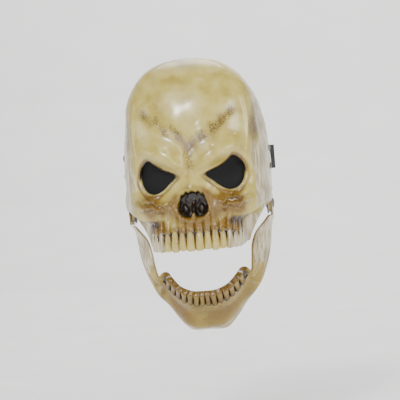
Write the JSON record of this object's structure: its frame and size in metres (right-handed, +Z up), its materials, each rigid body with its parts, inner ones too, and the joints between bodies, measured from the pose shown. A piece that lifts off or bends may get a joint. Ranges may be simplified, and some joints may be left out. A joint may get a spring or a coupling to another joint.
{
  "type": "latex skull mask with moving jaw",
  "caption": "Latex skull half-mask with mesh-backed eye holes, a lower jaw hinged at the temples on rivets, inner foam pads and an elastic head strap; shown worn, mouth open.",
  "frame": {"origin": "middle of the jaw's hinge axis, halfway between the two hinge rivets", "axes": "+X across the face towards the onlooker's right, +Y back into the wearer's head, so the mask faces -Y, +Z up to the crown"},
  "size_m": [0.1612, 0.2048, 0.2841],
  "materials": {
    "latex": "gloss",
    "eye_mesh": "matte",
    "rivet_metal": "satin",
    "patch_cloth": "matte",
    "foam": "matte",
    "elastic": "matte",
    "hook_and_loop": "matte"
  },
  "bodies": {
    "mask": {"skull_face": "latex", "eye_mesh_left": "eye_mesh", "eye_mesh_right": "eye_mesh", "hinge_rivet_left": "rivet_metal", "hinge_rivet_right": "rivet_metal", "hinge_washer_left": "rivet_metal", "hinge_washer_right": "rivet_metal", "hinge_patch_left": "patch_cloth", "hinge_patch_right": "patch_cloth", "forehead_pad": "foam", "temple_pad_left": "foam", "temple_pad_right": "foam", "strap_left": "elastic", "strap_right": "elastic", "loop_patch": "hook_and_loop", "hook_patch": "hook_and_loop", "strap_rivets_left": "rivet_metal", "strap_rivets_right": "rivet_metal", "strap_washers_left": "rivet_metal", "strap_washers_right": "rivet_metal"},
    "jaw": {"lower_jaw": "latex", "chin_cup": "foam"}
  },
  "joints": [
    {"name": "jaw_hinge", "type": "hinge", "parent": "mask", "child": "jaw", "pos_m": [0, 0, 0], "axis": [-1, 0, 0], "range_deg": [0, 39]}
  ]
}
